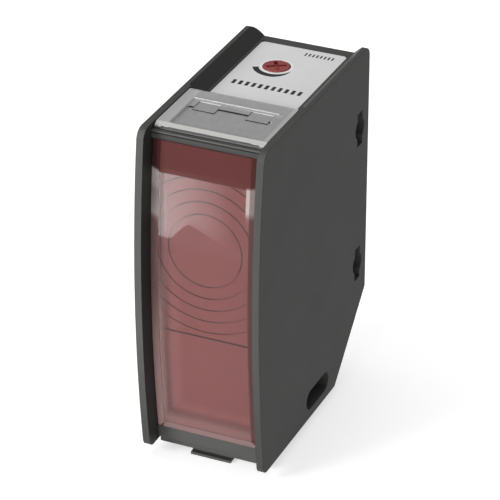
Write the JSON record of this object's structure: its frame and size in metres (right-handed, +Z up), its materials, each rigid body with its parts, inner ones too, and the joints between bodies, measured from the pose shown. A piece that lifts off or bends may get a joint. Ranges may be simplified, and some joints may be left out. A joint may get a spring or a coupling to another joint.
{
  "type": "photoelectric sensor",
  "caption": "Block-type photoelectric sensor: curved clear red front window between cheek plates, opening clear indicator lid, turning sensitivity adjuster, rear-bottom round plug.",
  "frame": {"origin": "middle of the footprint rectangle, at the lowest point (the underside of the bottom tab)", "axes": "+X across the housing, +Y from the front window to the rear face, +Z up"},
  "size_m": [0.0272, 0.0564, 0.0755],
  "materials": {
    "housing_plastic": "fine texture",
    "red_window": "smooth, transparent red",
    "red_lens": "smooth with ring grooves",
    "black_rubber": "matte",
    "black_plastic": "matte",
    "circuit_board": "solder mask",
    "clear_plastic": "clear",
    "smoke_clear_plastic": "clear, polished",
    "capacitor_can": "smooth",
    "white_plastic": "smooth",
    "red_plastic": "satin",
    "label_film": "printed film",
    "grey_plastic": "satin",
    "steel": "turned",
    "nickel_plated_metal": "plated, satin",
    "gold_contact": "plated"
  },
  "bodies": {
    "housing": {"adjuster_board": "circuit_board", "board_header": "black_plastic", "bottom_cover": "housing_plastic", "bottom_seal": "black_rubber", "connector_body": "nickel_plated_metal", "connector_insert": "black_plastic", "connector_nut": "nickel_plated_metal", "connector_pins": "gold_contact", "connector_seal": "black_rubber", "controller_chip": "black_plastic", "emitter_led": "clear_plastic", "emitter_lens": "red_lens", "emitter_shroud": "black_plastic", "front_bezel": "housing_plastic", "front_window": "red_window", "housing_shell": "housing_plastic", "indicator_board": "circuit_board", "indicator_tray": "grey_plastic", "label_plate": "label_film", "lid_hinge_pin": "steel", "lower_mounting_sleeve": "steel", "main_board": "circuit_board", "mode_switch_body": "black_plastic", "optics_board": "circuit_board", "optics_carrier": "black_plastic", "output_driver": "black_plastic", "output_led": "white_plastic", "output_light_guide": "clear_plastic", "potentiometer_body": "white_plastic", "power_led": "white_plastic", "power_light_guide": "clear_plastic", "receiver_lens": "red_lens", "receiver_photodiode": "black_plastic", "receiver_shroud": "black_plastic", "supply_capacitor": "capacitor_can", "upper_mounting_sleeve": "steel", "window_gasket": "black_rubber"},
    "lid": {"indicator_lid": "smoke_clear_plastic"},
    "adjuster": {"sensitivity_adjuster": "red_plastic", "potentiometer_rotor": "white_plastic", "adjuster_o_ring": "black_rubber"},
    "switch_slider": {"mode_switch_slider": "white_plastic"}
  },
  "joints": [
    {"name": "lid_hinge", "type": "hinge", "parent": "housing", "child": "lid", "pos_m": [0, -0.0051, 0.0744], "axis": [-1, 0, 0], "range_deg": [0, 100]},
    {"name": "adjuster_turn", "type": "hinge", "parent": "housing", "child": "adjuster", "pos_m": [-0.002, 0.0159, 0.0734], "axis": [0, 0, 1], "range_deg": [-135, 135]},
    {"name": "mode_switch_slide", "type": "slide", "parent": "housing", "child": "switch_slider", "axis": [1, 0, 0], "range_m": [0, 0.002]}
  ]
}
